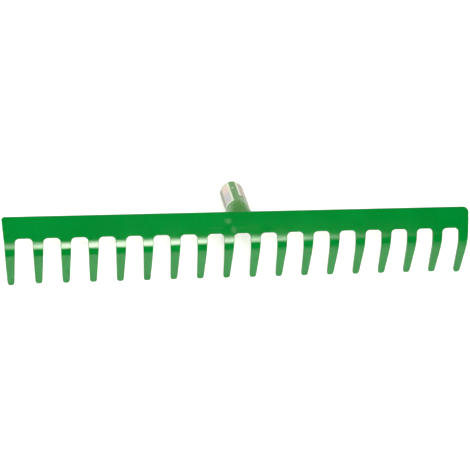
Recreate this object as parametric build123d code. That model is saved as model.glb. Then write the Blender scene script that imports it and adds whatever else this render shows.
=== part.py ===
from build123d import *
import os
from math import atan2, cos, degrees, radians, sin, tan

# Head of a garden rake: a stamped comb of sheet steel with a short rolled handle socket welded to its
# back. It is modelled in head coordinates first: X along the strip, Y to the back, Z up the strip, with
# the strip's front face in the plane Y = 0 and its top edge at Z = 0. It is then laid down as it rests
# on a table, on the tips of its two end teeth and the lower rim of the socket's mouth, with the origin
# under the middle of the object and +Z up. All sizes are in millimetres and all angles in degrees.

# Comb
tooth_count = 18
tooth_pitch = 28.0
sheet_thickness = 2.5
strip_depth = 22.6  # from the top edge down to the tops of the slots
tooth_root_width = 10.8
tooth_tip_width = 7.0
tooth_tip_rounding = 2.6
slot_corner_radius = 4.5
left_end_flare = 2.45  # how far the top edge reaches past the outer edge of the end tooth
right_end_flare = 0.45
left_corner_radius = 3.0
right_corner_radius = 6.5
bend_corner_depth = 37.3  # from the top edge to where the faces of strip and tooth would meet
bend_angle = 35.0
bend_radius = 25.0  # of the front face
tooth_reach = 41.5  # from that meeting line to the tip
end_tooth_offset = 0.5  # the two end teeth stand this much outside the even spacing
end_tooth_extra = 1.4  # and are this much longer
end_tooth_tip_rounding = 3.1

# Handle socket
bore_radius = 11.0
socket_wall = 1.5
socket_length = 76.5  # along the axis, from the strip's back face to the mouth
socket_angle = 68.0  # between the axis and the plane of the strip
foot_depth = strip_depth / 2  # where the axis meets the strip's back face
foot_half_width = 14.6  # the inner end is squeezed to an oval
foot_half_height = 9.7
round_start = 28.0  # the tube is round from here to the mouth
seam_gap = 0.8
screw_hole_radius = 1.75
screw_hole_inset = 16.0  # from the mouth to the hole's axis
screw_hole_turn = -6.0  # round the tube from its top towards +X

# Welds
weld_leg = 4.5
weld_half_height = 7.5
weld_inner_reach = 9.0  # from the middle of the foot out to where each run begins

# Label
label_thickness = 0.2
label_inset = 1.0  # from the mouth to the label's edge
label_length = 46.5
label_gap_start = -21.0  # the gap between the label's ends, as turns from the tube's top
label_gap_end = 10.5

# Values that follow from the driving dimensions
outer_radius = bore_radius + socket_wall
bend_tangent = bend_radius * tan(radians(bend_angle / 2))
bend_start = bend_corner_depth - bend_tangent
bend_end_y = bend_radius * (1 - cos(radians(bend_angle)))
bend_end_depth = bend_start + bend_radius * sin(radians(bend_angle))
leg_length = tooth_reach - bend_tangent
taper_length = bend_radius * radians(bend_angle) + leg_length
taper = (tooth_root_width - tooth_tip_width) / taper_length
leg_root_width = tooth_root_width - taper * bend_radius * radians(bend_angle)
end_tooth_x = tooth_pitch * (tooth_count - 1) / 2 + end_tooth_offset
end_leg_length = leg_length + end_tooth_extra
clear_of_part = 60.0  # a reach that is longer than the part is deep

back_plane = Plane(origin=(0, sheet_thickness, -foot_depth), x_dir=(1, 0, 0), z_dir=(0, 1, 0))
axis_direction = Vector(0, sin(radians(socket_angle)), cos(radians(socket_angle)))
axis_plane = Plane(origin=back_plane.origin, x_dir=(1, 0, 0), z_dir=axis_direction)
leg_plane = Plane(
    origin=(0, bend_end_y, -bend_end_depth),
    x_dir=(1, 0, 0),
    z_dir=(0, -cos(radians(bend_angle)), -sin(radians(bend_angle))),
)


def tooth_positions():
    inner = [(i - (tooth_count - 1) / 2) * tooth_pitch for i in range(1, tooth_count - 1)]
    return [-end_tooth_x, *inner, end_tooth_x]


def slot_places():
    """The middle and the width of each gap between two teeth."""
    teeth = tooth_positions()
    return [((a + b) / 2, b - a - tooth_root_width) for a, b in zip(teeth, teeth[1:])]


def bent_sheet():
    """The strip and the bend as one plate of full width, before the slots are cut."""
    centre = (bend_radius, -bend_start)
    inner_radius = bend_radius - sheet_thickness
    outer = CenterArc(centre, bend_radius, 180, bend_angle)
    inner = CenterArc(centre, inner_radius, 180, bend_angle)
    edges = [
        Line((0, 0), outer @ 0),
        outer,
        Line(outer @ 1, inner @ 1),
        inner,
        Line(inner @ 0, (sheet_thickness, 0)),
        Line((sheet_thickness, 0), (0, 0)),
    ]
    section = Plane.YZ * make_face(edges)
    return extrude(section, amount=end_tooth_x + tooth_pitch, both=True)


def strip_outline():
    """Front view of the plate: it narrows from the top edge to the outer edge of each end tooth."""
    root_x = end_tooth_x + tooth_root_width / 2
    leg_x = end_tooth_x + leg_root_width / 2
    right = [(root_x + right_end_flare, 0), (root_x, -bend_start), (leg_x, -bend_end_depth)]
    left = [(-leg_x, -bend_end_depth), (-root_x, -bend_start), (-root_x - left_end_flare, 0)]
    outline = make_face(Polyline(*right, *left, close=True))
    left_corner, right_corner = outline.vertices().group_by(Axis.Y)[-1].sort_by(Axis.X)
    outline = fillet(left_corner, left_corner_radius)
    right_corner = outline.vertices().sort_by_distance((right_corner.X, 0, 0))[0]
    return fillet(right_corner, right_corner_radius)


def slot_outline(width):
    """One gap between two teeth, open at its lower end and rounded at its top corners."""
    root_half = width / 2
    leg_half = root_half + (tooth_root_width - leg_root_width) / 2
    right = [(root_half, -strip_depth), (root_half, -bend_start), (leg_half, -bend_end_depth - 1)]
    left = [(-x, z) for x, z in reversed(right)]
    outline = make_face(Polyline(*right, *left, close=True))
    top_corners = outline.vertices().group_by(Axis.Y)[-1]
    return fillet(top_corners, slot_corner_radius)


def tooth_leg(length, tip_rounding):
    """The straight lower part of a tooth, at X = 0."""
    tip_half = (leg_root_width - taper * length) / 2
    points = [(leg_root_width / 2, 0), (tip_half, -length), (-tip_half, -length), (-leg_root_width / 2, 0)]
    outline = make_face(Polyline(*points, close=True))
    tip_corners = outline.vertices().group_by(Axis.Y)[0]
    rounded = fillet(tip_corners, tip_rounding)
    return extrude(leg_plane * rounded, amount=-sheet_thickness)


def make_tine_bar():
    outline = strip_outline() - [Pos(x, 0) * slot_outline(width) for x, width in slot_places()]
    plate = bent_sheet() & extrude(Plane.XZ * outline, amount=clear_of_part, both=True)
    leg = tooth_leg(leg_length, tooth_tip_rounding)
    end_leg = tooth_leg(end_leg_length, end_tooth_tip_rounding)
    inner_legs = [Pos(x, 0, 0) * leg for x in tooth_positions()[1:-1]]
    end_legs = [Pos(x, 0, 0) * end_leg for x in (-end_tooth_x, end_tooth_x)]
    return plate + inner_legs + end_legs


def socket_body(shrink):
    """Solid form of the socket: an oval foot that turns round, then a cylinder to the mouth."""
    foot = back_plane * Ellipse(foot_half_width - shrink, foot_half_height - shrink)
    neck_end = axis_plane.offset(round_start) * Circle(outer_radius - shrink)
    return loft([foot, neck_end]) + extrude(neck_end, amount=socket_length - round_start)


def radial_location(turn, inset):
    """Place on the tube's axis, inset from the mouth, whose Z points out at a turn from the tube's top."""
    on_axis = axis_plane.offset(socket_length - inset).location
    return on_axis * Rot(0, 0, turn) * Rot(90, 0, 0)


def make_handle_socket():
    tube = socket_body(0) - socket_body(socket_wall)
    seam_cut = Box(seam_gap, clear_of_part, 3 * socket_length, align=(Align.CENTER, Align.MIN, Align.CENTER))
    drill = Cylinder(screw_hole_radius, 2 * outer_radius, align=(Align.CENTER, Align.CENTER, Align.MIN))
    return tube - axis_plane * seam_cut - radial_location(screw_hole_turn, screw_hole_inset) * drill


def make_socket_weld(side):
    """Fillet of weld metal at one side of the foot, between the tube's wall and the strip's back."""
    base = back_plane * Ellipse(foot_half_width + weld_leg, foot_half_height + weld_leg)
    crown = axis_plane.offset(weld_leg) * Ellipse(foot_half_width, foot_half_height)
    run = loft([base, crown], ruled=True) - socket_body(0)
    room_size = (foot_half_width, 2 * weld_half_height, 4 * weld_leg)
    room = Box(*room_size, align=(Align.MIN, Align.CENTER, Align.CENTER))
    limits = back_plane * Pos(weld_inner_reach, 0, 0) * room
    if side < 0:
        limits = mirror(limits, about=Plane.YZ)
    return run & limits


def make_socket_label():
    """Paper wrapped round the tube, with a gap between its ends along the upper side."""
    label_plane = axis_plane.offset(socket_length - label_inset)
    ring = Circle(outer_radius + label_thickness) - Circle(outer_radius)
    reach = 2 * outer_radius
    gap = [(0, 0)]
    for turn in (label_gap_start, label_gap_end):
        gap.append((reach * sin(radians(turn)), -reach * cos(radians(turn))))
    wrap = ring - make_face(Polyline(*gap, close=True))
    return extrude(label_plane * wrap, amount=-label_length)


def resting_tilt():
    """Angle of the line from the end teeth's tips to the lower rim of the mouth, in head coordinates."""
    bend = radians(bend_angle)
    socket = radians(socket_angle)
    tip_y = bend_end_y + end_leg_length * sin(bend) + sheet_thickness * cos(bend)
    tip_z = -bend_end_depth - end_leg_length * cos(bend) + sheet_thickness * sin(bend)
    rim_y = sheet_thickness + socket_length * sin(socket) + outer_radius * cos(socket)
    rim_z = -foot_depth + socket_length * cos(socket) - outer_radius * sin(socket)
    return degrees(atan2(rim_z - tip_z, rim_y - tip_y))


def make_parts():
    head = {
        "tine_bar": make_tine_bar(),
        "handle_socket": make_handle_socket(),
        "socket_weld_left": make_socket_weld(-1),
        "socket_weld_right": make_socket_weld(1),
        "socket_label": make_socket_label(),
    }
    laid = {name: Rot(-resting_tilt(), 0, 0) * solid for name, solid in head.items()}
    box = Compound(children=[Part(solid.wrapped) for solid in laid.values()]).bounding_box()
    to_origin = Pos(-box.center().X, -box.center().Y, -box.min.Z)
    return {name: to_origin * solid for name, solid in laid.items()}


os.makedirs("parts", exist_ok=True)
for name, solid in make_parts().items():
    export_step(solid, f"parts/{name}.step")
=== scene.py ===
from math import atan, atan2, cos, pi, radians, sin, sqrt, tan

import bpy
from mathutils import Matrix, Vector, noise


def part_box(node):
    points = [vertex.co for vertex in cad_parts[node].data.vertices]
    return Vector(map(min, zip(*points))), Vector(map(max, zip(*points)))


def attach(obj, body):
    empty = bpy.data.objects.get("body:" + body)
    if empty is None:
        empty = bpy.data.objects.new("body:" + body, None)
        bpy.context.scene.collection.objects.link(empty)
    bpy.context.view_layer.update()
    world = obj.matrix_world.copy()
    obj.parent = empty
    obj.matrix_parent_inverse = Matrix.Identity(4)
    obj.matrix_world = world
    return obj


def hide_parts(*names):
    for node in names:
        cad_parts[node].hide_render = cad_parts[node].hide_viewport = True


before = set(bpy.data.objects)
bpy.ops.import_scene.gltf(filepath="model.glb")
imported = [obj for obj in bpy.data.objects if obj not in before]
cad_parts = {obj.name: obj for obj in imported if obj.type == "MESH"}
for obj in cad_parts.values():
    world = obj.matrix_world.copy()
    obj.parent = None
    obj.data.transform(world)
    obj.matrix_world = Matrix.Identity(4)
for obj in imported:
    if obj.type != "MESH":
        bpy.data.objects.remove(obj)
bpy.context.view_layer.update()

# Everything is in metres. The object is drawn in head coordinates first: X along the strip, Y to the
# back, Z up the strip, with the strip's front face in Y = 0 and its top edge at Z = 0. MM turns the
# design's millimetres into metres.
MM = 0.001

# Comb
TOOTH_COUNT = 18
TOOTH_PITCH = 28.0 * MM
SHEET = 2.5 * MM
STRIP_DEPTH = 22.6 * MM
TOOTH_ROOT_WIDTH = 10.8 * MM
TOOTH_TIP_WIDTH = 7.0 * MM
TIP_ROUNDING = 2.6 * MM
SLOT_ROUNDING = 4.5 * MM
STRIP_ENDS = {-1: (2.45 * MM, 3.0 * MM), 1: (0.45 * MM, 6.5 * MM)}  # by side: (flare, corner's rounding)
BEND_CORNER_DEPTH = 37.3 * MM
BEND_ANGLE = radians(35)
BEND_RADIUS = 25.0 * MM
BEND_EASING = 7.0 * MM  # the curve grows and fades over this much of the sheet on each side of its ends
TOOTH_REACH = 41.5 * MM
END_TOOTH_OFFSET = 0.5 * MM
END_TOOTH_EXTRA = 1.4 * MM
END_TIP_ROUNDING = 3.1 * MM
TRIM = 0.03 * MM  # the outermost edges stay this much inside the designed ones

# Handle socket
BORE_RADIUS = 11.0 * MM
SOCKET_WALL = 1.5 * MM
SOCKET_LENGTH = 76.5 * MM
SOCKET_ANGLE = radians(68)
FOOT_HALF_WIDTH = 14.6 * MM
FOOT_HALF_HEIGHT = 9.7 * MM
ROUND_START = 28.0 * MM
SEAM_GAP = 0.8 * MM
SCREW_HOLE_RADIUS = 1.75 * MM
SCREW_HOLE_INSET = 16.0 * MM
SCREW_HOLE_TURN = radians(-6)

# Label, as turns round the tube from its top towards +X
LABEL_THICKNESS = 0.15 * MM
LABEL_START = radians(10.5)
LABEL_END = radians(339)
LABEL_INSET = 1.0 * MM  # from the mouth
LABEL_LENGTH = 46.5 * MM
LABEL_CUT_TURN = radians(100)  # the paper is shorter for this much of a turn from its first end
LABEL_CUT_RAMP = radians(30)  # the last part of that, in which it grows to its full length
LABEL_CUT_LENGTH = 10.5 * MM

# Values that follow
OUTER_RADIUS = BORE_RADIUS + SOCKET_WALL
BEND_TANGENT = BEND_RADIUS * tan(BEND_ANGLE / 2)
# The easing moves the line where the faces of strip and tooth would meet this much further along each of
# them, so both straight stretches are shortened by it.
EASING_SHIFT = BEND_EASING ** 2 / (6 * BEND_RADIUS) * tan(BEND_ANGLE / 2)
BEND_START = BEND_CORNER_DEPTH - BEND_TANGENT - EASING_SHIFT
BEND_END = BEND_START + BEND_RADIUS * BEND_ANGLE
TIP_END = BEND_END + TOOTH_REACH - BEND_TANGENT - EASING_SHIFT - TRIM
END_TIP_END = TIP_END + END_TOOTH_EXTRA
TAPER = (TOOTH_ROOT_WIDTH - TOOTH_TIP_WIDTH) / (TIP_END - BEND_START)
END_TOOTH_X = TOOTH_PITCH * (TOOTH_COUNT - 1) / 2 + END_TOOTH_OFFSET - TRIM
INNER_TEETH = [(i - (TOOTH_COUNT - 1) / 2) * TOOTH_PITCH for i in range(1, TOOTH_COUNT - 1)]
TEETH = [-END_TOOTH_X, *INNER_TEETH, END_TOOTH_X]
AXIS = Vector((0, sin(SOCKET_ANGLE), cos(SOCKET_ANGLE)))
TUBE_TOP = Vector((0, -cos(SOCKET_ANGLE), sin(SOCKET_ANGLE)))
FOOT = Vector((0, SHEET, -STRIP_DEPTH / 2))
SIDE = Vector((1, 0, 0))


# ---------------------------------------------------------------- number helpers


def spaced(start, end, steps):
    return [start + (end - start) * i / steps for i in range(steps + 1)]


def clamped(value):
    return min(max(value, 0), 1)


def smooth_step(value):
    value = clamped(value)
    return value * value * (3 - 2 * value)


# ---------------------------------------------------------------- placing


def curvature(depth):
    """Of the comb's front face; the press leaves no sudden start or end to the bend."""
    growing = (depth - BEND_START) / (2 * BEND_EASING) + 0.5
    fading = (BEND_END - depth) / (2 * BEND_EASING) + 0.5
    return clamped(min(growing, fading)) / BEND_RADIUS


def comb_profile(step):
    """(y, z, angle) along the comb's front face, from where the bend starts to ease in to past the tips."""
    y, z, angle = 0, -EASING_START, 0
    profile = [(y, z, angle)]
    depth = EASING_START
    while depth < END_TIP_END + step:
        middle_angle = angle + curvature(depth + step / 2) * step / 2
        y += step * sin(middle_angle)
        z -= step * cos(middle_angle)
        depth += step
        angle += curvature(depth - step / 2) * step
        profile.append((y, z, angle))
    return profile


def bend_frame(depth):
    """Point on the comb's front face at a depth along the sheet from the top edge, and its normal."""
    if depth <= EASING_START:
        return Vector((0, 0, -depth)), Vector((0, -1, 0))
    place = (depth - EASING_START) / PROFILE_STEP
    index = min(int(place), len(PROFILE) - 2)
    share = place - index
    y, z, angle = (a + (b - a) * share for a, b in zip(PROFILE[index], PROFILE[index + 1]))
    return Vector((0, y, z)), Vector((0, -cos(angle), -sin(angle)))


def rest_matrix():
    """Lays the head on its two end teeth and the lower rim of the mouth, where the CAD comb lies."""
    tip, tip_normal = bend_frame(END_TIP_END)
    tip -= SHEET * tip_normal
    rim = FOOT + SOCKET_LENGTH * AXIS - OUTER_RADIUS * TUBE_TOP
    tilt = atan2(rim.z - tip.z, rim.y - tip.y)
    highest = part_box("tine_bar")[1]
    turn = Matrix.Rotation(-tilt, 4, "X")
    back_edge = turn @ Vector((0, SHEET, 0))
    middle = sum(corner[0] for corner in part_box("handle_socket")) / 2
    return Matrix.Translation((middle, highest[1] - back_edge.y, highest[2])) @ turn


EASING_START = BEND_START - BEND_EASING
PROFILE_STEP = 0.25 * MM
PROFILE = comb_profile(PROFILE_STEP)
REST = rest_matrix()


# ---------------------------------------------------------------- mesh building

RIM_STEPS = 4  # in each quarter turn of a sheet's rounded edge
MITRE_LIMIT = 0.6  # an inset corner is stretched by no more than 1 / 0.6


def rim_profile(thickness, front_radius, back_radius, support):
    """Insets and depths of the rings that close a sheet's edge, from its front face to its back."""
    def rounding(radius, start, end):
        return [(radius * (1 - sin(a)), radius * (1 - cos(a))) for a in spaced(start, end, RIM_STEPS)]

    front = rounding(front_radius, 0, pi / 2)
    back = [(inset, thickness - depth) for inset, depth in rounding(back_radius, pi / 2, 0)]
    return [(front_radius + support, 0), *front, *back, (back_radius + support, thickness)]


def grid_faces(rows, columns):
    """Faces of a grid of points that runs along each row in turn."""
    corners = [j * columns + i for j in range(rows - 1) for i in range(columns - 1)]
    return [(a, a + 1, a + columns + 1, a + columns) for a in corners]


def boundary_insets(points, faces):
    """For each vertex on a flat mesh's outline: the next one along it, and the way into the sheet."""
    edges = {(face[i - 1], face[i]) for face in faces for i in range(len(face))}
    following = {a: b for a, b in edges if (b, a) not in edges}
    before = {b: a for a, b in following.items()}
    inward = {}
    for vertex, after in following.items():
        here, ahead, behind = (Vector(points[v]) for v in (vertex, after, before[vertex]))
        first = (here - behind).normalized()
        second = (ahead - here).normalized()
        middle = (first + second).normalized()
        stretch = 1 / max(middle.dot(first), MITRE_LIMIT)
        inward[vertex] = Vector((-middle.y, middle.x)) * stretch
    return following, inward


def sheet_piece(name, points, faces, place, profile):
    """A sheet with rounded edges, from a flat mesh of (across, along) points with outward-facing faces.

    place(across, along, depth) gives the point at a depth under the front face.
    """
    following, inward = boundary_insets(points, faces)
    outline = sorted(following)
    slot_of = {vertex: i for i, vertex in enumerate(outline)}
    vertices, flat, edge = [], [], []

    def add(across, along, depth, on_edge):
        vertices.append(REST @ place(across, along, depth))
        flat.append((across, along))
        edge.append(on_edge)

    for inset, depth in (profile[0], profile[-1]):
        for i, point in enumerate(points):
            moved = Vector(point) + inward[i] * inset if i in inward else point
            add(*moved, depth, 0.0)
    ring_starts = []
    for inset, depth in profile[1:-1]:
        ring_starts.append(len(vertices))
        for i in outline:
            add(*(Vector(points[i]) + inward[i] * inset), depth, 1.0)

    def ring_vertex(ring, vertex):
        if ring == 0:
            return vertex
        if ring == len(profile) - 1:
            return len(points) + vertex
        return ring_starts[ring - 1] + slot_of[vertex]

    polygons = [tuple(face) for face in faces]
    polygons += [tuple(len(points) + v for v in reversed(face)) for face in faces]
    for here, ahead in following.items():
        for ring in range(len(profile) - 1):
            corners = ((ring, ahead), (ring, here), (ring + 1, here), (ring + 1, ahead))
            polygons.append(tuple(ring_vertex(*corner) for corner in corners))
    return make_object(name, vertices, polygons, flat, edge)


def make_object(name, vertices, polygons, flat, edge):
    """A smooth-shaded mesh object with its flat coordinates as a UV map and an edge attribute."""
    mesh = bpy.data.meshes.new(name)
    mesh.from_pydata(vertices, [], polygons)
    mesh.polygons.foreach_set("use_smooth", [True] * len(mesh.polygons))
    uv_layer = mesh.uv_layers.new(name="flat")
    for loop in mesh.loops:
        uv_layer.data[loop.index].uv = flat[loop.vertex_index]
    attribute = mesh.attributes.new("edge", "FLOAT", "POINT")
    attribute.data.foreach_set("value", edge)
    mesh.validate()
    piece = bpy.data.objects.new(name, mesh)
    bpy.context.scene.collection.objects.link(piece)
    return piece


# ---------------------------------------------------------------- comb

EDGE_FRONT = 0.35 * MM
EDGE_BACK = 0.3 * MM
EDGE_SUPPORT = 0.12 * MM
GRID_INSET = EDGE_FRONT + EDGE_SUPPORT
TOOTH_COLUMNS = 10
FLAT_COLUMNS = 4
ROUND_STEPS = 8
CORNER_STEPS = 6
CORNER_DEPTH = 4 * MM  # middle of the row that ends the corners' rounding
STRIP_STEPS = 8
BEND_STEPS = 16
LEG_STEPS = 9
ROW_BOW_POWER = 4  # a row turns from its ends' depths to its middle's within a few columns
FILLET_X = TOOTH_ROOT_WIDTH / 2 + SLOT_ROUNDING  # half width of a tooth at the top of its fillets
FILLET_END = STRIP_DEPTH + SLOT_ROUNDING
TIP_BLEND = 3 * MM  # stretch before the tip's rounding in which the rows turn from straight to round


def half_width(depth):
    """Half the width of a tooth below its fillets."""
    return (TOOTH_ROOT_WIDTH - TAPER * max(depth - BEND_START, 0)) / 2


def outer_half_width(side):
    """A function of the depth: how far the strip's slanted end is from the middle of its end tooth."""
    flare = STRIP_ENDS[side][0]
    return lambda depth: half_width(depth) + flare * max(1 - depth / BEND_START, 0)


# An edge, here and below, is a function of the inset from the outline that gives (distance from the
# tooth's middle, depth).


def corner_edge(side, share):
    """Edge of the strip's rounded corner, from its top (share 0) to its slanted end (share 1)."""
    flare, rounding = STRIP_ENDS[side]
    slant = atan(flare / BEND_START)
    centre = outer_half_width(side)(rounding) - rounding / cos(slant)
    angle = share * (pi / 2 + slant)

    def edge(inset):
        radius = rounding - inset
        return centre + radius * sin(angle), rounding - radius * cos(angle)
    return edge


def corner_end(side):
    """Depth at which the corner's rounding ends on the slanted end."""
    flare, rounding = STRIP_ENDS[side]
    return rounding * (1 + sin(atan(flare / BEND_START)))


def fillet_edge(angle):
    """Edge of a slot's rounded corner, at an angle from the slot's top."""
    def edge(inset):
        radius = SLOT_ROUNDING + inset
        return FILLET_X - radius * sin(angle), FILLET_END - radius * cos(angle)
    return edge


def tip_edge(angle, tip_end, rounding):
    """Edge of a tip's rounded corner, from the tooth's side (angle 0) to its end."""
    centre = half_width(tip_end) - rounding

    def edge(inset):
        radius = rounding - inset
        return centre + radius * cos(angle), tip_end - rounding + radius * sin(angle)
    return edge


def straight_edge(depth, width):
    return lambda inset: (width(depth) - inset, depth)


def strip_rows():
    """Rows down to the slots' tops: (depth in the middle, inner edge, left end's edge, right end's)."""
    rows = []
    for share in spaced(0, 1, CORNER_STEPS):
        middle = CORNER_DEPTH * share
        inner = (lambda inset, depth=middle: (FILLET_X, depth))
        rows.append((middle, inner, corner_edge(-1, share), corner_edge(1, share)))
    for share in spaced(0, 1, STRIP_STEPS)[1:]:
        middle = CORNER_DEPTH + (STRIP_DEPTH - CORNER_DEPTH) * share
        inner = fillet_edge(0) if share == 1 else (lambda inset, depth=middle: (FILLET_X, depth))
        outer = []
        for side in (-1, 1):
            depth = corner_end(side) + (STRIP_DEPTH - corner_end(side)) * share
            outer.append(straight_edge(depth, outer_half_width(side)))
        rows.append((middle, inner, *outer))
    return rows


def tooth_rows(side):
    """Rows of one tooth below the slots' tops: (depth in the middle, left edge, right edge).

    side is -1 or 1 for an end tooth and 0 for the others.
    """
    tip_end, rounding = (END_TIP_END, END_TIP_ROUNDING) if side else (TIP_END, TIP_ROUNDING)

    def row(depth, inner, outer):
        return depth, outer if side < 0 else inner, outer if side > 0 else inner

    rows = []
    for share in spaced(0, 1, ROUND_STEPS)[1:]:
        depth = STRIP_DEPTH + SLOT_ROUNDING * share
        outer = straight_edge(depth, outer_half_width(side)) if side else None
        rows.append(row(depth, fillet_edge(share * pi / 2), outer))
    tip_start = tip_end - rounding - TIP_BLEND
    straight = [FILLET_END + (BEND_START - FILLET_END) / 2]
    straight += spaced(BEND_START, BEND_END, BEND_STEPS)
    straight += spaced(BEND_END, tip_start, LEG_STEPS)[1:]
    for depth in straight:
        outer = straight_edge(depth, outer_half_width(side)) if side else None
        rows.append(row(depth, straight_edge(depth, half_width), outer))
    for share in spaced(0, 1, ROUND_STEPS):
        depth = tip_start + (tip_end - tip_start) * share
        if share < 1:
            depth += TIP_BLEND / (ROUND_STEPS + 1) * (1 - share)
        edge = tip_edge(share * pi / 2, tip_end, rounding)
        rows.append(row(depth, edge, edge))
    return rows


def row_points(x, left, right, middle_depth, on_outline):
    """Points of one row across a tooth; the ends lie on the outline and the rest inside the inset one."""
    inset = 0 if on_outline else GRID_INSET
    (left_half, left_depth), (right_half, right_depth) = left(inset), right(inset)
    points = []
    for share in spaced(0, 1, TOOTH_COLUMNS):
        bow = 1 - (2 * share - 1) ** ROW_BOW_POWER
        side_depth = left_depth + (right_depth - left_depth) * share
        depth = side_depth + (middle_depth - side_depth) * bow
        points.append((x - left_half + (left_half + right_half) * share, -depth))
    points[0] = (x - left(0)[0], -left(0)[1])
    points[-1] = (x + right(0)[0], -right(0)[1])
    return points


def comb_flat_mesh():
    """Points (x, minus the depth along the sheet) and faces of the comb's front, laid flat."""
    points, faces = [], []

    def add_points(new_points):
        points.extend(new_points)
        return list(range(len(points) - len(new_points), len(points)))

    def join(above, below):
        faces.extend((above[j], below[j], below[j + 1], above[j + 1]) for j in range(len(below) - 1))

    lowest = None
    for number, (depth, inner, left_end, right_end) in enumerate(strip_rows()):
        line = []
        for i, x in enumerate(TEETH):
            left = left_end if i == 0 else inner
            right = right_end if i == TOOTH_COUNT - 1 else inner
            line += add_points(row_points(x, left, right, depth, number == 0))
            if i < TOOTH_COUNT - 1:
                between = spaced(x + FILLET_X, TEETH[i + 1] - FILLET_X, FLAT_COLUMNS)[1:-1]
                line += add_points([(across, -depth) for across in between])
        if lowest:
            join(lowest, line)
        lowest = line
    for i, x in enumerate(TEETH):
        start = i * (TOOTH_COLUMNS + FLAT_COLUMNS)
        above = lowest[start:start + TOOTH_COLUMNS + 1]
        below = tooth_rows({0: -1, TOOTH_COUNT - 1: 1}.get(i, 0))
        for depth, left, right in below:
            line = add_points(row_points(x, left, right, depth, depth == below[-1][0]))
            join(above, line)
            above = line
    return points, faces


# The heat of the welds has raised the strip's front: (x, depth, half width, half height, lean)
WELD_MARKS = (
    (-15.0 * MM, 8.8 * MM, 3.6 * MM, 2.4 * MM, radians(4)),
    (-8.8 * MM, 18.0 * MM, 2.2 * MM, 3.6 * MM, radians(-12)),
)
WELD_MARK_RISE = 0.13 * MM
WAVE_HEIGHT = 0.015 * MM
WAVES_PER_METRE = (40, 25)  # across and down the sheet
WAVE_SLICE = 3.7  # through the noise that the waves are taken from
RELIEF_FADE = 6 * MM  # the relief ends over this much of the sheet above the bend


def comb_relief(x, depth):
    """How far the sheet stands proud: weld marks, and the faint waves that stamping leaves."""
    rise = 0
    for mark_x, mark_depth, half_x, half_z, lean in WELD_MARKS:
        across, down = x - mark_x, depth - mark_depth
        u = (across * cos(lean) + down * sin(lean)) / half_x
        v = (down * cos(lean) - across * sin(lean)) / half_z
        rise += WELD_MARK_RISE * max(1 - u * u - v * v, 0) ** 2
    across_waves, down_waves = WAVES_PER_METRE
    return rise + WAVE_HEIGHT * noise.noise(Vector((x * across_waves, depth * down_waves, WAVE_SLICE)))


def comb_place(x, along, depth):
    """Point of the bent comb for a flat one; along is minus the depth along the sheet."""
    point, normal = bend_frame(-along)
    fade = smooth_step((BEND_START + along) / RELIEF_FADE)
    return Vector((x, point.y, point.z)) + normal * (comb_relief(x, -along) * fade - depth)


def make_comb():
    points, faces = comb_flat_mesh()
    profile = rim_profile(SHEET, EDGE_FRONT, EDGE_BACK, EDGE_SUPPORT)
    return sheet_piece("rake_comb", points, faces, comb_place, profile)


# ---------------------------------------------------------------- socket

SOCKET_EDGE = 0.4 * MM
COLUMN_TURN = radians(5)
NECK_STEPS = 18
HOLE_CELLS = 4  # the screw hole's patch reaches this many cells each way
HOLE_RINGS = (0.35, 0.7, 1.0)  # shares of the way from the patch's outline to the hole's edge


def socket_place(across, along, depth):
    """Point of the tube's wall; across is the arc from its top towards +X, and along starts at the foot."""
    turn = across / OUTER_RADIUS
    radius = OUTER_RADIUS - depth
    around = SIDE * sin(turn) + TUBE_TOP * cos(turn)
    if along >= ROUND_START:
        return FOOT + AXIS * along + around * radius
    oval = Vector(((FOOT_HALF_WIDTH - depth) * sin(turn), 0, (FOOT_HALF_HEIGHT - depth) * cos(turn)))
    start = FOOT + oval
    end = FOOT + AXIS * ROUND_START + around * radius
    # A cubic that leaves the foot straight towards the neck's end and arrives there along the axis.
    share = along / ROUND_START
    chord = end - start
    end_slope = AXIS * chord.length
    share2, share3 = share ** 2, share ** 3
    point = start * (2 * share3 - 3 * share2 + 1) + end * (3 * share2 - 2 * share3)
    return point + chord * (share3 - 2 * share2 + share) + end_slope * (share3 - share2)


def hole_patch(points, faces, columns, rows, column, row):
    """Replaces the cells round one grid point by rings that end in the screw hole's circle."""
    size = 2 * HOLE_CELLS
    first_column, first_row = column - HOLE_CELLS, row - HOLE_CELLS
    count = len(columns)

    def vertex(i, j):
        return (first_row + j) * count + first_column + i

    ring = [vertex(i, 0) for i in range(size)] + [vertex(size, j) for j in range(size)]
    ring += [vertex(size - i, size) for i in range(size)] + [vertex(0, size - j) for j in range(size)]
    inside = {vertex(i, j) for i in range(1, size) for j in range(1, size)}
    faces = [face for face in faces if not inside.intersection(face)]
    centre = Vector((columns[column], rows[row]))
    outer = [Vector(points[v]) - centre for v in ring]
    previous = ring
    for share in HOLE_RINGS:
        current = []
        for place in outer:
            circle = place.normalized() * SCREW_HOLE_RADIUS
            current.append(len(points))
            points.append(tuple(centre + place + (circle - place) * share))
        for i in range(len(ring)):
            faces.append((previous[i - 1], previous[i], current[i], current[i - 1]))
        previous = current
    used = sorted({v for face in faces for v in face})
    renumber = {v: i for i, v in enumerate(used)}
    return [points[v] for v in used], [tuple(renumber[v] for v in face) for face in faces]


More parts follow.
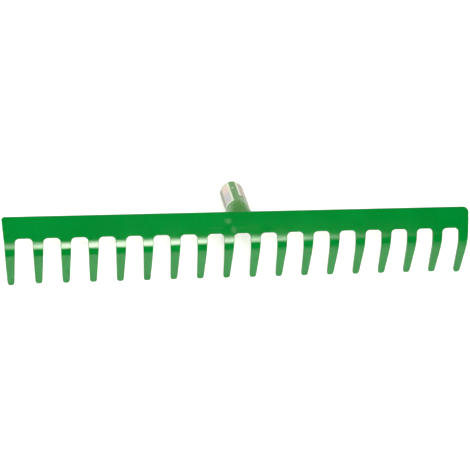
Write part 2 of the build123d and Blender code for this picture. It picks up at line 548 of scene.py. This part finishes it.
def make_socket():
    """The tube as one rolled sheet, from one edge of its open seam round to the other."""
    hole_along = SOCKET_LENGTH - SCREW_HOLE_INSET
    seam_turn = pi - SEAM_GAP / 2 / OUTER_RADIUS
    inner_columns = round(2 * pi / COLUMN_TURN) - 2
    turns = [-seam_turn] + [-pi + COLUMN_TURN * (i + 1) for i in range(inner_columns + 1)] + [seam_turn]
    columns = [turn * OUTER_RADIUS for turn in turns]
    cell = COLUMN_TURN * OUTER_RADIUS
    rows = spaced(0, ROUND_START, NECK_STEPS)
    rows += spaced(ROUND_START, hole_along, round((hole_along - ROUND_START) / cell))[1:]
    hole_row = len(rows) - 1
    rows += spaced(hole_along, SOCKET_LENGTH, round(SCREW_HOLE_INSET / cell))[1:]
    points = [(across, along) for along in rows for across in columns]
    faces = grid_faces(len(rows), len(columns))
    hole_column = min(range(len(columns)), key=lambda i: abs(turns[i] - SCREW_HOLE_TURN))
    points, faces = hole_patch(points, faces, columns, rows, hole_column, hole_row)
    profile = rim_profile(SOCKET_WALL, SOCKET_EDGE, SOCKET_EDGE, EDGE_SUPPORT)
    return sheet_piece("rake_socket", points, faces, socket_place, profile)


# ---------------------------------------------------------------- welds

BEAD_RADIUS = 2.5 * MM
BEAD_SINK = 0.8 * MM  # how far its underside reaches into the strip
BEAD_START = radians(38)  # as turns round the foot from its top
BEAD_END = radians(132)
BEAD_OFFSET = 0.5 * MM  # from the foot's wall out to the bead's middle
BEAD_FLATNESS = 1.05  # its width over its height
BEAD_RIPPLES = 15
RIPPLE_BOW = 0.35 * MM  # the ripples curve along the bead
RIPPLE_LOWEST = 0.93  # of the bead's radius
RIPPLE_SWELL = 0.12
RIPPLE_LEAN = 0.6  # below 1, each ripple swells early and falls off slowly
BEAD_WANDER = 0.1
WANDER_WAVES = 5
WANDER_SLICE = 7.3  # through the noise that the radius wanders with
BEAD_BLUNTNESS = 9  # of its two ends
BEAD_LEAST_TAPER = 0.004  # keeps its ends from closing to a point
BEAD_FLAT_LENGTH = 20 * MM
BEAD_RINGS = 90
BEAD_SIDES = 18


def bead_radius(share, side):
    """Radius of the bead at a share of its length, before its ends' taper."""
    phase = (share * BEAD_RIPPLES) % 1
    swell = RIPPLE_LOWEST + RIPPLE_SWELL * sin(pi * phase ** RIPPLE_LEAN)
    wander = BEAD_WANDER * noise.noise(Vector((share * WANDER_WAVES, side * WANDER_SLICE, 0)))
    return BEAD_RADIUS * (swell + wander)


def bead_ring(share, side):
    """Points round the bead of the right side at a share of its length."""
    turn = BEAD_START + (BEAD_END - BEAD_START) * share
    on_foot = Vector((FOOT_HALF_WIDTH * sin(turn), 0, FOOT_HALF_HEIGHT * cos(turn)))
    outward = Vector((sin(turn) / FOOT_HALF_WIDTH, 0, cos(turn) / FOOT_HALF_HEIGHT)).normalized()
    along = Vector((outward.z, 0, -outward.x))
    centre = FOOT + on_foot + outward * BEAD_OFFSET
    end_taper = sqrt(max(1 - abs(2 * share - 1) ** BEAD_BLUNTNESS, BEAD_LEAST_TAPER))
    radius = bead_radius(share, side) * end_taper
    ring = []
    for j in range(BEAD_SIDES):
        angle = 2 * pi * j / BEAD_SIDES
        bow = RIPPLE_BOW * (1 - abs(sin(angle)))
        back = max(radius * sin(angle), -BEAD_SINK)
        point = centre + outward * radius * BEAD_FLATNESS * cos(angle) + Vector((0, back, 0))
        ring.append(point + along * bow * end_taper)
    return ring


def weld_bead(side):
    """A run of weld metal with its ripples, down one side of the socket's foot."""
    vertices, flat = [], []
    for share in spaced(0, 1, BEAD_RINGS):
        for j, point in enumerate(bead_ring(share, side)):
            vertices.append(REST @ Vector((side * point.x, point.y, point.z)))
            flat.append((2 * pi * j / BEAD_SIDES * BEAD_RADIUS, share * BEAD_FLAT_LENGTH))
    polygons = []
    for i in range(BEAD_RINGS):
        for j in range(BEAD_SIDES):
            first = i * BEAD_SIDES + j
            second = i * BEAD_SIDES + (j + 1) % BEAD_SIDES
            polygons.append((first, second, second + BEAD_SIDES, first + BEAD_SIDES))
    polygons.append(tuple(reversed(range(BEAD_SIDES))))
    polygons.append(tuple(BEAD_RINGS * BEAD_SIDES + j for j in range(BEAD_SIDES)))
    if side > 0:
        polygons = [face[::-1] for face in polygons]
    name = "weld_bead_left" if side < 0 else "weld_bead_right"
    return make_object(name, vertices, polygons, flat, [0.0] * len(vertices))


# ---------------------------------------------------------------- label

LABEL_COLUMNS = 80
LABEL_ROWS = 30
LABEL_EDGE = 0.04 * MM
LABEL_GLUE = 0.03 * MM  # thickness of the glue under it
END_LIFT = 0.22 * MM  # its two ends have come off the tube by this much
END_LIFT_REACH = 2.2 * MM
RUMPLE_HEIGHT = 0.03 * MM
RUMPLE_WAVES = (4, 200, 1.3)  # per radian, per metre, and the slice through the noise
CREASE_TURN = radians(276)  # down the tube's left side the paper is creased
CREASE_HALF_TURN = radians(20)
CREASE_REACH = 15 * MM  # the creases fade out between once and twice this far from the mouth
CREASE_HEIGHT = 0.7 * MM
CREASE_WAVES = (9, 260, 5.1)  # as for the rumples
CREASE_MEAN = 0.5


def rumple(turn, inset, waves):
    per_radian, per_metre, noise_slice = waves
    return noise.noise(Vector((turn * per_radian, inset * per_metre, noise_slice)))


def label_lift(turn, inset):
    """How far the label stands off the tube: more at its two ends and down its creased side."""
    end_distance = min(turn - LABEL_START, LABEL_END - turn) * OUTER_RADIUS
    lift = LABEL_GLUE + END_LIFT * (1 - smooth_step(end_distance / END_LIFT_REACH))
    lift += RUMPLE_HEIGHT * rumple(turn, inset, RUMPLE_WAVES)
    at_crease = smooth_step(1 - abs(turn - CREASE_TURN) / CREASE_HALF_TURN)
    at_crease *= smooth_step(2 + inset / CREASE_REACH)
    return lift + CREASE_HEIGHT * at_crease * (CREASE_MEAN + rumple(turn, inset, CREASE_WAVES))


def label_place(across, inset, depth):
    """Point of the label; across is the arc round the tube, and inset is minus the way from the mouth."""
    turn = across / OUTER_RADIUS
    radius = OUTER_RADIUS + label_lift(turn, inset) + LABEL_THICKNESS - depth
    around = SIDE * sin(turn) + TUBE_TOP * cos(turn)
    return FOOT + AXIS * (SOCKET_LENGTH + inset) + around * radius


def make_label():
    """Paper wrapped from just right of the screw hole round underneath; its first end is cut shorter."""
    columns = spaced(LABEL_START, LABEL_END, LABEL_COLUMNS)
    points = []
    for share in spaced(1, 0, LABEL_ROWS):
        for turn in columns:
            cut = clamped((LABEL_START + LABEL_CUT_TURN - turn) / LABEL_CUT_RAMP)
            length = LABEL_LENGTH - cut * LABEL_CUT_LENGTH
            points.append((turn * OUTER_RADIUS, -LABEL_INSET - length * share))
    profile = rim_profile(LABEL_THICKNESS, LABEL_EDGE, LABEL_EDGE, LABEL_EDGE)
    faces = grid_faces(LABEL_ROWS + 1, len(columns))
    return sheet_piece("paper_label", points, faces, label_place, profile)


# ---------------------------------------------------------------- materials


class Paint:
    """A material with short calls that add nodes and link them."""

    def __init__(self, name):
        self.material = bpy.data.materials.new(name)
        self.material.use_nodes = True
        self.tree = self.material.node_tree
        self.shader = self.tree.nodes["Principled BSDF"]

    def add(self, kind, inputs=None, **settings):
        node = self.tree.nodes.new("ShaderNode" + kind)
        for key, value in settings.items():
            setattr(node, key, value)
        for key, value in (inputs or {}).items():
            self.feed(node, key, value)
        return node

    def feed(self, node, key, value):
        if isinstance(value, bpy.types.NodeSocket):
            self.tree.links.new(value, node.inputs[key])
        else:
            node.inputs[key].default_value = value

    def place(self):
        """Position in the object, in metres."""
        return self.add("TexCoord").outputs["Object"]

    def flat(self):
        """Position on the piece's sheet laid flat, in metres."""
        return self.add("UVMap", uv_map="flat").outputs["UV"]

    def noise(self, vector, size, detail=3.0, roughness=0.5):
        inputs = {"Vector": vector, "Scale": 1 / size, "Detail": detail, "Roughness": roughness}
        return self.add("TexNoise", inputs).outputs["Fac"]

    def ramp(self, value, stops, smooth=False):
        """Colour by a value from 0 to 1, through stops of (position, colour)."""
        node = self.add("ValToRGB", {"Fac": value})
        elements = node.color_ramp.elements
        while len(elements) < len(stops):
            elements.new(0.5)
        for element, (position, colour) in zip(elements, stops):
            element.position = position
            element.color = colour
        node.color_ramp.interpolation = "EASE" if smooth else "LINEAR"
        return node.outputs["Color"]

    def mix(self, share, first, second):
        node = self.add("Mix", data_type="RGBA")
        self.feed(node, 0, share)
        self.feed(node, 6, first)
        self.feed(node, 7, second)
        return node.outputs[2]

    def math(self, operation, first, second=0.0):
        return self.add("Math", {0: first, 1: second}, operation=operation).outputs[0]

    def range(self, value, low, high, out_low, out_high):
        inputs = {"Value": value, "From Min": low, "From Max": high, "To Min": out_low, "To Max": out_high}
        return self.add("MapRange", inputs).outputs["Result"]

    def within(self, value, low, high):
        above, below = self.math("GREATER_THAN", value, low), self.math("LESS_THAN", value, high)
        return self.math("MULTIPLY", above, below)

    def end_distance(self, share):
        """Distance of a share from the nearer one of 0 and 1."""
        return self.math("MINIMUM", share, self.math("SUBTRACT", 1.0, share))

    def edge(self):
        """1 on a sheet's rounded edges and 0 on its faces."""
        return self.add("Attribute", attribute_name="edge").outputs["Fac"]

    def bump(self, layers):
        """Bumps stacked one on another, each (height, distance in metres, strength)."""
        normal = None
        for height, distance, strength in layers:
            inputs = {"Height": height, "Distance": distance, "Strength": strength}
            if normal is not None:
                inputs["Normal"] = normal
            normal = self.add("Bump", inputs).outputs["Normal"]
        self.feed(self.shader, "Normal", normal)

    def set(self, **sockets):
        """Feeds the shader's sockets, by their names in lower case."""
        for key, value in sockets.items():
            self.feed(self.shader, key.replace("_", " ").title().replace("Ior", "IOR"), value)


def colour(red, green, blue):
    """Linear colour of an sRGB one given as 0 to 255."""
    channels = []
    for value in (red, green, blue):
        value /= 255
        channels.append(value / 12.92 if value <= 0.04045 else ((value + 0.055) / 1.055) ** 2.4)
    return (*channels, 1)


# Painted highlights on the strip's front, where the weld marks and its faint waves catch the light: (x,
# depth, half width, half height, strength)
PAINTED_GLINTS = (
    (-15.0 * MM, 8.8 * MM, 4.4 * MM, 2.8 * MM, 0.75),
    (-9.2 * MM, 18.2 * MM, 3.2 * MM, 4.4 * MM, 0.75),
    (-28.0 * MM, 16.8 * MM, 9.0 * MM, 1.1 * MM, 0.2),
    (-1.0 * MM, 17.0 * MM, 7.0 * MM, 1.1 * MM, 0.2),
)
GLINT_INNER, GLINT_OUTER = 0.6, 1.5  # a mark fades between these reaches, in half widths
# The lighter green of the painted highlights on the strip's front.
GLINT_GREEN = colour(56, 122, 66)
# Painted shade for the socket's rounded edges.
RIM_SHADE = (0.02, 0.045, 0.014, 1)
# Pale ring round the screw hole: bare steel, lightened and tinted green as a painted highlight on its rim.
BARE_STEEL_GLINT = colour(178, 196, 172)
BARE_GLINT_FULL, BARE_GLINT_NONE = 0.1 * MM, 0.5 * MM  # the bare ring fades between these distances from the hole


def comb_painted_glints(paint, body):
    """Lays soft lighter patches over the comb's colour: painted highlights where the weld marks and the
    sheet's faint waves catch the light.
    """
    wobble = paint.math("MULTIPLY", paint.noise(paint.place(), 3 * MM, 3), 0.7)
    for x, depth, half_x, half_z, strength in PAINTED_GLINTS:
        inputs = {"Vector": paint.flat(), "Location": (x, -depth, 0), "Scale": (half_x, half_z, 1)}
        local = paint.add("Mapping", inputs, vector_type="TEXTURE").outputs[0]
        reach = paint.add("VectorMath", {0: local}, operation="LENGTH").outputs["Value"]
        share = paint.range(paint.math("ADD", reach, wobble), GLINT_INNER, GLINT_OUTER, strength, 0)
        body = paint.mix(share, body, GLINT_GREEN)
    return body


def rim_shade_and_hole_glint(paint, body):
    """Painted shade darkening all of the tube's rounded edges, and a pale ring round the screw hole, which
    was drilled through the coat: bare metal, lightened as a painted highlight on the hole's rim.
    """
    body = paint.mix(paint.math("MULTIPLY", paint.edge(), 0.85), body, RIM_SHADE)
    centre = (SCREW_HOLE_TURN * OUTER_RADIUS, SOCKET_LENGTH - SCREW_HOLE_INSET, 0)
    away = paint.add("VectorMath", {0: paint.flat(), 1: centre}, operation="DISTANCE").outputs["Value"]
    share = paint.range(away, SCREW_HOLE_RADIUS + BARE_GLINT_FULL, SCREW_HOLE_RADIUS + BARE_GLINT_NONE, 0.9, 0)
    return paint.mix(share, body, BARE_STEEL_GLINT)


def tinted(base, red_added, green_factor, blue_factor):
    return (base[0] + red_added, base[1] * green_factor, base[2] * blue_factor, 1)


def enamel_body(paint, deep, light):
    """Colour of the coat: clouds of two greens, darker in specks on the edges as painted shade of their
    rounded outline, with faint dust.
    """
    place = paint.place()
    clouds = paint.noise(place, 38 * MM, 3)
    body = paint.mix(paint.range(clouds, 0.35, 0.65, 0, 1), deep, light)
    specks = paint.noise(place, 1.1 * MM, 2)
    # Painted shade: the rounded edges are darkened in specks.
    painted_edge_shade = paint.math("MULTIPLY", paint.edge(), paint.range(specks, 0.42, 0.62, 0.25, 0.9))
    body = paint.mix(painted_edge_shade, body, tinted(deep, 0.004, 0.55, 0.7))
    dust = paint.noise(place, 9 * MM, 5, 0.65)
    return paint.mix(paint.range(dust, 0.56, 0.8, 0, 0.5), body, tinted(light, 0.004, 1.06, 1.15))


def enamel(name, deep, light, roughness, gloss, peel, marks=None):
    """Stoved green enamel with orange peel; marks(paint, body) adds what only one piece has."""
    paint = Paint(name)
    place = paint.place()
    body = enamel_body(paint, deep, light)
    if marks:
        body = marks(paint, body)
    smears = paint.noise(place, 16 * MM, 4, 0.6)
    shine = paint.range(smears, 0.3, 0.7, roughness * 0.8, roughness * 1.3)
    paint.set(base_color=body, roughness=shine, specular_ior_level=gloss)
    paint.set(coat_weight=0.15, coat_roughness=0.04, coat_ior=1.5)
    orange_peel = paint.noise(place, 2.4 * MM, 2, 0.4)
    grain = paint.noise(place, 0.35 * MM, 2)
    runs = paint.noise(place, 14 * MM, 1)
    paint.bump([(runs, 0.4 * MM, 0.25), (orange_peel, 0.05 * MM, peel), (grain, 0.006 * MM, 0.35)])
    return paint.material


# Colours of the label: its printing, and a darker khaki band down the tube's left side. Places are shares
# of its length round the tube, from its first end to its second, or of its length along the tube, from the
# mouth.
CREAM = colour(198, 208, 182)
PINK = colour(204, 182, 174)
VIOLET = colour(173, 171, 175)
PALE_GREEN = colour(157, 170, 155)
# Darker band down the tube's left side, next to the panel.
KHAKI = colour(124, 123, 106)
ROSE_GREY = colour(144, 130, 122)
WORN_PAPER = colour(168, 166, 150)
BAR_GREY = colour(90, 92, 84)
PANEL_START = 0.85
BAR_PITCH = 2.2 * MM
BARS_ROUND = (0.77, 0.84)
BARS_DOWN = (0.35, 0.8)
BAR_SHARE = 0.55  # the ink starts at this height of each wave


def label_panels(paint, turn, down):
    """Plain panels: pink over violet beside the second end, with pale green before it, and the rest."""
    panel = paint.ramp(down, [(0.0, PINK), (0.4, PINK), (0.55, VIOLET), (1.0, VIOLET)])
    panel = paint.mix(paint.range(turn, 0.89, 0.86, 0, 0.6), panel, PALE_GREEN)
    back_stops = [(0.0, ROSE_GREY), (0.12, ROSE_GREY), (0.2, VIOLET), (0.7, VIOLET), (0.8, KHAKI)]
    return paint.mix(paint.math("GREATER_THAN", turn, PANEL_START), paint.ramp(turn, back_stops), panel)


def bar_block(paint, turn, down):
    """Where the block of plain bars has ink."""
    inputs = {"Vector": paint.flat(), "Scale": 1 / BAR_PITCH, "Distortion": 0.0}
    waves = paint.add("TexWave", inputs, bands_direction="X").outputs["Fac"]
    block = paint.math("MULTIPLY", paint.within(turn, *BARS_ROUND), paint.within(down, *BARS_DOWN))
    return paint.math("MULTIPLY", block, paint.math("GREATER_THAN", waves, BAR_SHARE))


def label_border(paint, turn, down):
    """Where the cream border is, all round the label."""
    side = paint.range(paint.end_distance(turn), 0.028, 0.036, 1, 0)
    top = paint.range(paint.end_distance(down), 0.055, 0.075, 1, 0)
    return paint.math("MAXIMUM", side, top)


def label_paper():
    """Cream paper with plain printed panels, a bar block and no lettering, under a faint varnish."""
    paint = Paint("label_paper")
    split = paint.add("SeparateXYZ", {"Vector": paint.flat()})
    turn = paint.range(split.outputs["X"], LABEL_START * OUTER_RADIUS, LABEL_END * OUTER_RADIUS, 0, 1)
    down = paint.range(split.outputs["Y"], -LABEL_INSET, -LABEL_INSET - LABEL_LENGTH, 0, 1)
    face = label_panels(paint, turn, down)
    face = paint.mix(paint.math("MULTIPLY", bar_block(paint, turn, down), 0.55), face, BAR_GREY)
    face = paint.mix(label_border(paint, turn, down), face, CREAM)
    mottle = paint.noise(paint.place(), 1.6 * MM, 3)
    face = paint.mix(paint.range(mottle, 0.4, 0.75, 0, 0.28), face, WORN_PAPER)
    paint.set(base_color=face, roughness=paint.range(mottle, 0.3, 0.7, 0.38, 0.55))
    paint.set(coat_weight=0.15, coat_roughness=0.2, sheen_weight=0.05)
    fibres = paint.noise(paint.place(), 0.5 * MM, 4)
    paint.bump([(fibres, 0.02 * MM, 0.4), (mottle, 0.05 * MM, 0.3)])
    return paint.material


def floor_material():
    """White acrylic with a weak light under it, which lifts the shadows between the teeth."""
    paint = Paint("pale_floor")
    mottle = paint.noise(paint.place(), 0.3, 2)
    tone = paint.ramp(mottle, [(0.3, (0.93, 0.93, 0.91, 1)), (0.7, (0.96, 0.96, 0.94, 1))])
    paint.set(base_color=tone, roughness=0.6, emission_color=(1, 1, 0.98, 1), emission_strength=0.2)
    return paint.material


# ---------------------------------------------------------------- studio

FLOOR_HALF_SIZE = 8.0
BEND_HEIGHT = 0.7  # the bend's height, as a share of the comb's
# The front softbox shows as the white band across each tooth's bend: its columns, as x in metres and the
# lower and the upper edge in degrees above the horizon.
SOFTBOX = (
    (-0.34, 35.4, 47.4), (-0.16, 31.9, 45.9), (-0.05, 31.9, 46.3), (0.10, 35.2, 47.5),
    (0.31, 38.9, 48.4), (0.50, 42.4, 49.2), (0.62, 44.2, 49.6),
)
# Its cloth fades across both edges. Each row of its corners starts from one of them: (the edge's place in
# a column of SOFTBOX, degrees added to it, share of the glow).
SOFTBOX_ROWS = ((1, -5, 0), (1, 4, 1), (2, -4.5, 1), (2, 3.5, 0))
SOFTBOX_DISTANCE = 1.2
SOFTBOX_HEADING = radians(40)
SOFTBOX_POWER = 24.0
# The black board behind it keeps the strip's reflection dark: its corners, as x in metres and degrees
# above the horizon.
BOARD = (
    (-1.0, 66.9), (-1.0, -3.1), (-0.25, -3.1), (0.1, 2.9), (0.65, 14.9), (1.5, 18.9), (1.5, 66.9),
)
BOARD_DISTANCE = 1.4
BOARD_HEADING = radians(28.9)


def make_panel(name, corners, material, faces):
    """A flat piece of the studio."""
    mesh = bpy.data.meshes.new(name)
    mesh.from_pydata(corners, [], faces)
    mesh.materials.append(material)
    panel = bpy.data.objects.new(name, mesh)
    bpy.context.scene.collection.objects.link(panel)
    return panel


def make_floor():
    size = FLOOR_HALF_SIZE
    corners = [(-size, -size, 0), (size, -size, 0), (size, size, 0), (-size, size, 0)]
    make_panel("floor", corners, floor_material(), [(0, 1, 2, 3)])


def seen_from_bend(distance, heading, corners):
    """Corners on a plane in front of the comb, from (x, angle above the horizon) as the teeth see them.

    The plane faces the comb's bend at an angle of heading and a distance from it.
    """
    lowest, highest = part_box("tine_bar")
    bend = Vector((0, (lowest[1] + highest[1]) / 2, highest[2] * BEND_HEIGHT))
    points = []
    for x, angle in corners:
        reach = distance / cos(angle - heading)
        points.append(bend + Vector((x, -reach * cos(angle), reach * sin(angle))))
    return points


def glow_material():
    """Softbox cloth: brightest left of its middle, and fading towards both ends and across its edges."""
    paint = Paint("softbox_glow")
    across = paint.add("SeparateXYZ", {"Vector": paint.place()}).outputs["X"]
    share = paint.range(across, SOFTBOX[0][0], SOFTBOX[-1][0], 0, 1)
    black, dim, white = (0, 0, 0, 1), (0.075, 0.073, 0.066, 1), (1, 0.98, 0.88, 1)
    stops = [(0.0, black), (0.23, white), (0.36, white), (0.87, dim), (1.0, black)]
    strength = paint.math("MULTIPLY", paint.edge(), SOFTBOX_POWER)
    inputs = {"Color": paint.ramp(share, stops, smooth=True), "Strength": strength}
    emission = paint.add("Emission", inputs)
    output = paint.tree.nodes["Material Output"]
    paint.tree.links.new(emission.outputs[0], output.inputs["Surface"])
    paint.tree.nodes.remove(paint.shader)
    return paint.material


def make_softbox():
    """The glow across its cloth is in the same attribute as the edges of the object's sheets."""
    corners, glow = [], []
    for column, shift, share in SOFTBOX_ROWS:
        row = [(entry[0], radians(entry[column]) + radians(shift)) for entry in SOFTBOX]
        corners += seen_from_bend(SOFTBOX_DISTANCE, SOFTBOX_HEADING, row)
        glow += [share] * len(row)
    faces = grid_faces(len(SOFTBOX_ROWS), len(SOFTBOX))
    panel = make_panel("front_softbox", corners, glow_material(), faces)
    panel.data.attributes.new("edge", "FLOAT", "POINT").data.foreach_set("value", glow)
    panel.visible_camera = False


def black_material():
    paint = Paint("black_felt")
    paint.set(base_color=(0.004, 0.004, 0.004, 1), roughness=1.0, specular_ior_level=0.0)
    return paint.material


def make_board():
    corners = [(x, radians(angle)) for x, angle in BOARD]
    points = seen_from_bend(BOARD_DISTANCE, BOARD_HEADING, corners)
    board = make_panel("black_board", points, black_material(), [tuple(range(len(points)))])
    board.visible_camera = False


def area_light(name, place, target, size, power):
    light = bpy.data.lights.new(name, "AREA")
    light.shape = "RECTANGLE"
    light.size, light.size_y = size
    light.energy = power
    lamp = bpy.data.objects.new(name, light)
    lamp.location = place
    lamp.rotation_euler = (Vector(target) - Vector(place)).to_track_quat("-Z", "Y").to_euler()
    lamp.visible_camera = False
    bpy.context.scene.collection.objects.link(lamp)
    return lamp


def make_lights():
    area_light("overhead_softbox", place=(0, 0.3, 2.0), target=(0, 0.05, 0), size=(2.4, 1.6), power=6)
    area_light("back_softbox", place=(-0.1, 1.7, 1.35), target=(0, 0, 0), size=(1.8, 1.1), power=4)
    # The key light stands behind the camera, so that the object hides its own shadows.
    key_place = (-0.35, -0.9, 1.75)
    key = area_light("key_softbox", key_place, target=(0, -0.03, 0), size=(1.2, 0.8), power=47)
    key.visible_glossy = False
    make_softbox()
    make_board()
    world = bpy.data.worlds.new("studio")
    world.use_nodes = True
    background = world.node_tree.nodes["Background"]
    background.inputs["Color"].default_value = (1.0, 0.99, 0.95, 1)
    background.inputs["Strength"].default_value = 0.82
    bpy.context.scene.world = world


def make_camera():
    """A long lens above the front left of the object, looking back and down at it."""
    heading = radians(17.572)  # from +Y towards +X
    elevation = radians(59.608)
    roll = radians(13.804)
    distance = 1.3939
    target = Vector((0.74, -3.27, 4.0)) * MM
    forward = Vector((sin(heading) * cos(elevation), cos(heading) * cos(elevation), -sin(elevation)))
    level = forward.cross(Vector((0, 0, 1))).normalized()
    up = level.cross(forward)
    right = level * cos(roll) + up * sin(roll)
    top = up * cos(roll) - level * sin(roll)
    camera = bpy.data.cameras.new("camera")
    camera.sensor_width = 36
    camera.lens = 99.21
    camera.clip_end = 20  # past the far side of the floor
    holder = bpy.data.objects.new("camera", camera)
    axes = Matrix((right, top, -forward)).transposed()
    holder.matrix_world = Matrix.Translation(target - distance * forward) @ axes.to_4x4()
    bpy.context.scene.collection.objects.link(holder)
    bpy.context.scene.camera = holder


# ---------------------------------------------------------------- assembly


def fit(piece, material, node):
    """Gives a piece its material, parents it to the root body's frame, and hides the CAD node it stands
    for.
    """
    piece.data.materials.append(material)
    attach(piece, "root")
    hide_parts(node)


make_camera()
make_floor()
make_lights()
bpy.context.scene.view_settings.view_transform = "Standard"

comb_enamel = enamel(
    "comb_enamel", deep=colour(0, 110, 37), light=colour(0, 115, 41),
    roughness=0.07, gloss=0.39, peel=0.3, marks=comb_painted_glints,
)
socket_enamel = enamel(
    "socket_enamel", deep=colour(42, 112, 20), light=colour(54, 120, 28),
    roughness=0.27, gloss=0.38, peel=0.4, marks=rim_shade_and_hole_glint,
)
weld_enamel = enamel(
    "weld_enamel", deep=colour(6, 100, 31), light=colour(12, 108, 36),
    roughness=0.2, gloss=0.4, peel=0.5,
)
fit(make_comb(), comb_enamel, "tine_bar")
fit(make_socket(), socket_enamel, "handle_socket")
fit(weld_bead(-1), weld_enamel, "socket_weld_left")
fit(weld_bead(1), weld_enamel, "socket_weld_right")
fit(make_label(), label_paper(), "socket_label")
